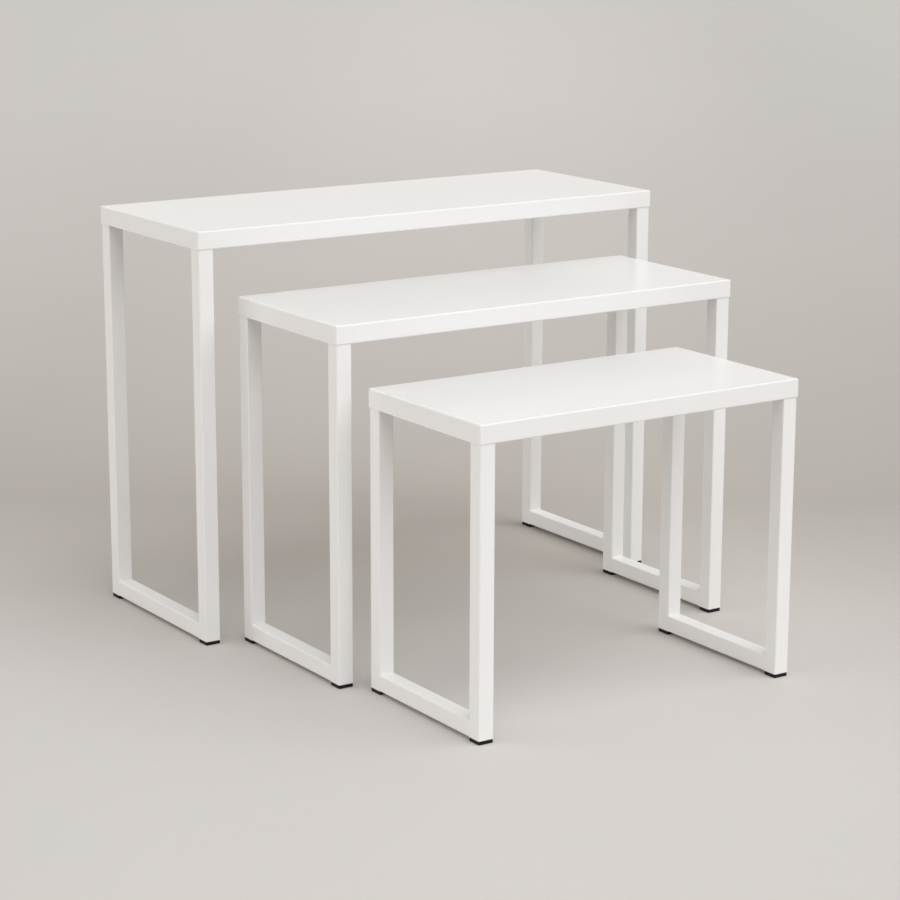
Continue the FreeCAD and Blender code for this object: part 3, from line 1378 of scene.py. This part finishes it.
@dataclass
class DisplayTable:
    """One table: a folded top on two closed end frames of square tube, with a foot under each leg.

    Attributes:
        body: its name, which is also the name of the body that it moves as.
        KEPT_NODES: the solids that are only dressed, because they need no more detail.
    """

    body: str

    KEPT_NODES: ClassVar[tuple[str, ...]] = (
        "stiffener_front", "stiffener_rear", "top_bar_left", "top_bar_right",
    )

    def pieces(self) -> list[Piece]:
        """List the pieces that are drawn anew.

        Returns:
            The pieces, in the order in which they are built.
        """
        pieces: list[Piece] = [TopTray(self.body, Slot.COATED_TOP, self._node("top_tray"))]
        for end in ENDS:
            rail = self._node(f"floor_rail_{end}")
            pieces.append(SquareTube(self.body, Slot.COATED_FRAME, rail, Axis.Y))
            for side in SIDES:
                leg = self._node(f"leg_{side}_{end}")
                foot = self._node(f"foot_{side}_{end}")
                pieces.append(SquareTube(self.body, Slot.COATED_FRAME, leg, Axis.Z))
                pieces.append(FootPad(self.body, Slot.PLASTIC, foot))
        pieces.append(ThreadedStuds(self.body, Slot.ZINC, self._node("weld_studs")))
        pieces.append(HexagonNuts(self.body, Slot.ZINC, self._node("stud_nuts")))
        pieces.append(CornerWelds(self.body, Slot.COATED_FRAME))
        return pieces

    def build(self, finishes: Finishes) -> None:
        """Build the whole table.

        Args:
            finishes: the materials.
        """
        for piece in self.pieces():
            piece.build(finishes)
        for name in self.KEPT_NODES:
            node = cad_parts[self._node(name)]
            finishes.dress(node, Slot.COATED_INSIDE)
            LOG.info("%s: kept as it is, in %s", node.name, Slot.COATED_INSIDE.value)

    def _node(self, name: str) -> str:
        """Give the full name of a node of this table."""
        return f"{self.body}_{name}"


# ---------------------------------------------------------------- the studio


@dataclass(frozen=True)
class SoftLamp:
    """A broad, distant light that gloss doesn't mirror, because the plain backdrop shows there.

    Attributes:
        name: its name.
        strength: its strength.
        spread: how broad it looks, in degrees.
        bearing: where it stands, in degrees from the front towards the right.
        height: how high it stands, in degrees above the floor.
        colour: its colour.
    """

    name: str
    strength: float
    spread: float
    bearing: float
    height: float
    colour: Colour

    def build(self) -> None:
        """Put the light in the scene."""
        light = bpy.data.lights.new(self.name, "SUN")
        light.energy = self.strength
        light.color = self.colour
        light.angle = math.radians(self.spread)
        lamp = bpy.data.objects.new(self.name, light)
        turn = Matrix.Rotation(math.radians(self.bearing), 4, "Z")
        nod = Matrix.Rotation(math.radians(90 - self.height), 4, "X")
        lamp.matrix_world = turn @ nod
        lamp.visible_glossy = False
        bpy.context.scene.collection.objects.link(lamp)


@dataclass(frozen=True)
class Viewpoint:
    """The camera.

    Attributes:
        place: where it stands.
        heading: how far it is turned from +Y towards +X, in degrees.
        tilt: how far it looks down, in degrees.
        roll: how far it leans, in degrees.
        focal_length: of its lens, in millimetres on the sensor.
        sensor: the width of the sensor, in millimetres.
    """

    place: Place = (-3.1466, -4.5871, 1.7352)
    heading: float = 33.657
    tilt: float = 13.495
    roll: float = 0.164
    focal_length: float = 103.686
    sensor: float = 36.0

    def build(self) -> None:
        """Put the camera in the scene."""
        lens = bpy.data.cameras.new("viewpoint")
        lens.sensor_width = self.sensor
        lens.lens = self.focal_length
        camera = bpy.data.objects.new("viewpoint", lens)
        turn = Matrix.Rotation(math.radians(-self.heading), 4, "Z")
        nod = Matrix.Rotation(math.radians(90 - self.tilt), 4, "X")
        lean = Matrix.Rotation(math.radians(self.roll), 4, "Z")
        camera.matrix_world = Matrix.Translation(self.place) @ turn @ nod @ lean
        bpy.context.scene.collection.objects.link(camera)
        bpy.context.scene.camera = camera


@dataclass(frozen=True)
class Studio:
    """Pale floor, soft light and the camera.

    Attributes:
        floor_radius: how far the floor reaches.
        rim_steps: how many edges there are round its rim.
        lamps: the lights.
    """

    floor_radius: float = 60.0
    rim_steps: int = 96
    lamps: tuple[SoftLamp, ...] = (
        SoftLamp("key_light", 2.41, 76.0, 12.0, 49.0, (1.0, 1.008, 1.035)),
        SoftLamp("side_light", 1.46, 74.0, -107.0, 17.0, (1.0, 0.99, 0.98)),
        SoftLamp("fill_light", 0.60, 70.0, 102.0, 36.0, (1.0, 0.99, 0.98)),
    )

    def build(self) -> None:
        """Set up everything around the tables."""
        self._build_floor()
        bpy.context.scene.world = SoftSky("studio_sky").world()
        for lamp in self.lamps:
            lamp.build()
        Viewpoint().build()
        bpy.context.scene.view_settings.view_transform = "Standard"

    def _build_floor(self) -> None:
        """Lay the floor."""
        mesh = bpy.data.meshes.new("studio_floor")
        turns = [2 * math.pi * step / self.rim_steps for step in range(self.rim_steps)]
        radius = self.floor_radius
        rim = [(radius * math.cos(turn), radius * math.sin(turn), 0.0) for turn in turns]
        mesh.from_pydata(rim, [], [tuple(range(len(rim)))])
        floor = bpy.data.objects.new("studio_floor", mesh)
        floor.data.materials.append(StudioFloor("studio_floor").material())
        bpy.context.scene.collection.objects.link(floor)


def main() -> None:
    """Build the three tables and the studio around them."""
    logging.basicConfig(level=logging.INFO, format="%(name)s: %(message)s")
    finishes = Finishes.mixed()
    for body in TABLES:
        DisplayTable(body).build(finishes)
    Studio().build()


if __name__ == "__main__":
    main()
